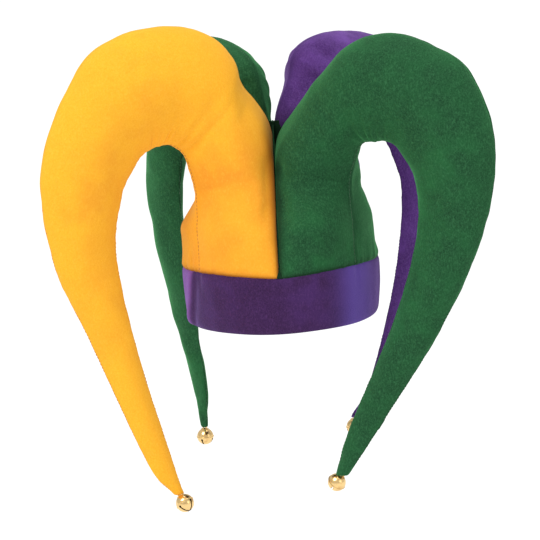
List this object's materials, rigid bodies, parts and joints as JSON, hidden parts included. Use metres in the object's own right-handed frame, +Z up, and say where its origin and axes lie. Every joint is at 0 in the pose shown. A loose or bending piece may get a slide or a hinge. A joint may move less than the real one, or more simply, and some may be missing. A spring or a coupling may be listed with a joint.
{
  "type": "jester hat",
  "caption": "Plush jester hat with stuffed felt horns that arch over and hang below a folded headband, each ending in a jingle bell.",
  "frame": {"origin": "centre of the head opening, level with the lower edge of the headband, where the hat sits on a head", "axes": "+Z up along the head, the wearer faces -Y, +X is the right side as seen from in front"},
  "size_m": [0.3762, 0.3125, 0.4203],
  "materials": {
    "gold_felt": "matt felt",
    "green_felt": "matt felt",
    "purple_felt": "matt felt",
    "bell_brass": "polished"
  },
  "bodies": {
    "root": {"headband": "purple_felt", "front_left_horn": "gold_felt", "front_left_bell": "bell_brass", "front_left_bell_pellet": "bell_brass", "front_right_horn": "green_felt", "front_right_bell": "bell_brass", "front_right_bell_pellet": "bell_brass", "back_left_horn": "green_felt", "back_left_bell": "bell_brass", "back_left_bell_pellet": "bell_brass", "back_right_horn": "purple_felt", "back_right_bell": "bell_brass", "back_right_bell_pellet": "bell_brass"}
  },
  "joints": []
}
